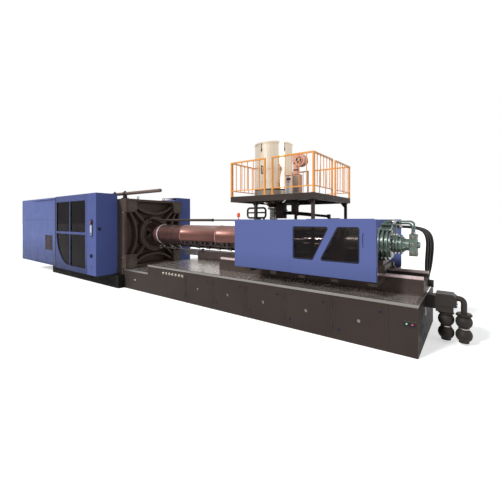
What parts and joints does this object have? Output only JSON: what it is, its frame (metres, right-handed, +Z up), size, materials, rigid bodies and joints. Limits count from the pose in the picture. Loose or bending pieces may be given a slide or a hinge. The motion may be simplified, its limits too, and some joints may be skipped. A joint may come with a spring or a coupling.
{
  "type": "injection moulding machine",
  "caption": "Large horizontal injection moulding machine with sliding safety doors, a ribbed platen, a heated barrel, and a drying hopper on a railed platform.",
  "frame": {"origin": "floor under the screw axis, in the plane of the fixed platen's mould face", "axes": "+X from the mould face along the screw to the injection end, +Y to the back, +Z up"},
  "size_m": [19.4589, 4.428, 4.8623],
  "materials": {
    "cover_blue": "satin",
    "door_blue": "satin",
    "end_blue": "satin",
    "bed_black": "matt",
    "platen_brown": "painted",
    "machine_grey": "satin",
    "base_grey": "satin",
    "deck_steel": "polished",
    "trim_steel": "satin",
    "bar_chrome": "polished",
    "bright_steel": "machined",
    "copper_shield": "polished",
    "screw_steel": "polished",
    "hydraulic_green": "gloss",
    "dark_pane": "polished",
    "strip_metal": "polished",
    "button_red": "gloss",
    "port_steel": "machined",
    "duct_grey": "matt",
    "lamp_orange": "translucent",
    "rail_orange": "gloss",
    "platform_dark": "satin",
    "hopper_steel": "polished",
    "dryer_salmon": "satin",
    "tube_black": "matt",
    "service_dark": "satin",
    "joint_rubber": "matt",
    "hose_rubber": "matt"
  },
  "bodies": {
    "machine": {"clamp_bed": "bed_black", "fixed_platen": "platen_brown", "tie_bars": "bar_chrome", "tie_bar_nuts": "machine_grey", "tail_platen": "platen_brown", "clamp_cylinder": "machine_grey", "safety_bar_guide": "machine_grey", "clamp_covers": "cover_blue", "door_rails": "bright_steel", "end_covers": "end_blue", "control_strip": "strip_metal", "base_frame": "base_grey", "base_front": "base_grey", "base_deck": "deck_steel", "edge_trim": "trim_steel", "bench": "base_grey", "guide_rails": "bright_steel", "service_fittings": "port_steel", "cable_duct": "duct_grey", "guard_panels": "cover_blue", "beacon": "lamp_orange", "carriage_cylinders": "machine_grey", "oil_manifold": "service_dark", "expansion_joints": "joint_rubber", "hoses": "hose_rubber"},
    "front_door": {"front_door": "door_blue", "front_door_panes": "dark_pane"},
    "back_door": {"back_door": "door_blue", "back_door_panes": "dark_pane"},
    "stop_button": {"stop_button": "button_red"},
    "moving_platen": {"moving_platen": "platen_brown", "clamp_ram": "bar_chrome", "safety_bar": "machine_grey"},
    "ejector": {"ejector_plate": "machine_grey"},
    "guard_door": {"guard_door": "cover_blue", "guard_door_panes": "dark_pane"},
    "carriage": {"carriage_frame": "machine_grey", "barrel_housing": "machine_grey", "carriage_rods": "bar_chrome", "barrel": "bright_steel", "nozzle": "copper_shield", "heater_bands": "copper_shield", "injection_cylinder": "hydraulic_green", "hydraulic_motor": "hydraulic_green", "valve_manifold": "hydraulic_green", "feed_throat": "machine_grey", "hopper": "hopper_steel", "platform_deck": "platform_dark", "guard_rails": "rail_orange", "dryer_blower": "dryer_salmon", "conveying_pipes": "tube_black"},
    "hopper_lid": {"hopper_lid": "hopper_steel"},
    "injection_piston": {"injection_piston": "bar_chrome"},
    "screw": {"screw": "screw_steel"},
    "drive_shaft": {"drive_shaft": "screw_steel"},
    "cabinet_door_1": {"cabinet_door_1": "base_grey"},
    "cabinet_door_2": {"cabinet_door_2": "base_grey"},
    "cabinet_door_3": {"cabinet_door_3": "base_grey"},
    "cabinet_door_4": {"cabinet_door_4": "base_grey"},
    "cabinet_door_5": {"cabinet_door_5": "base_grey"}
  },
  "joints": [
    {"name": "front_door_slide", "type": "slide", "parent": "machine", "child": "front_door", "axis": [1, 0, 0], "range_m": [-2.85, 0]},
    {"name": "back_door_slide", "type": "slide", "parent": "machine", "child": "back_door", "axis": [1, 0, 0], "range_m": [-2.85, 0]},
    {"name": "stop_button_press", "type": "slide", "parent": "machine", "child": "stop_button", "axis": [0, 1, 0], "range_m": [0, 0.008], "stiffness_N_per_m": 400},
    {"name": "clamp_stroke", "type": "slide", "parent": "machine", "child": "moving_platen", "axis": [1, 0, 0], "range_m": [-1.3, 1]},
    {"name": "ejector_stroke", "type": "slide", "parent": "moving_platen", "child": "ejector", "axis": [1, 0, 0], "range_m": [0, 0.25]},
    {"name": "guard_door_slide", "type": "slide", "parent": "machine", "child": "guard_door", "axis": [1, 0, 0], "range_m": [-1.8, 0]},
    {"name": "carriage_slide", "type": "slide", "parent": "machine", "child": "carriage", "axis": [1, 0, 0], "range_m": [-0.545, 0.25], "deforming": ["hoses"]},
    {"name": "injection_stroke", "type": "slide", "parent": "carriage", "child": "injection_piston", "axis": [1, 0, 0], "range_m": [0, 0.94]},
    {"name": "screw_turn", "type": "hinge", "parent": "injection_piston", "child": "screw", "pos_m": [7.6, 0, 2.03], "axis": [1, 0, 0], "continuous": true},
    {"name": "drive_turn", "type": "hinge", "parent": "carriage", "child": "drive_shaft", "pos_m": [9, 0, 2.03], "axis": [1, 0, 0], "continuous": true},
    {"name": "hopper_lid_hinge", "type": "hinge", "parent": "carriage", "child": "hopper_lid", "pos_m": [6.4, 0.595, 4.81], "axis": [1, 0, 0], "range_deg": [-80, 0]},
    {"name": "cabinet_hinge_1", "type": "hinge", "parent": "machine", "child": "cabinet_door_1", "pos_m": [3.946, -1.325, 0.5], "axis": [0, 0, 1], "range_deg": [-110, 0]},
    {"name": "cabinet_hinge_2", "type": "hinge", "parent": "machine", "child": "cabinet_door_2", "pos_m": [5.146, -1.325, 0.5], "axis": [0, 0, 1], "range_deg": [-110, 0]},
    {"name": "cabinet_hinge_3", "type": "hinge", "parent": "machine", "child": "cabinet_door_3", "pos_m": [6.346, -1.325, 0.5], "axis": [0, 0, 1], "range_deg": [-110, 0]},
    {"name": "cabinet_hinge_4", "type": "hinge", "parent": "machine", "child": "cabinet_door_4", "pos_m": [7.546, -1.325, 0.5], "axis": [0, 0, 1], "range_deg": [-110, 0]},
    {"name": "cabinet_hinge_5", "type": "hinge", "parent": "machine", "child": "cabinet_door_5", "pos_m": [8.746, -1.325, 0.5], "axis": [0, 0, 1], "range_deg": [-110, 0]}
  ],
  "couplings": [
    {"joint": "drive_turn", "follows": "screw_turn", "ratio": 1}
  ]
}
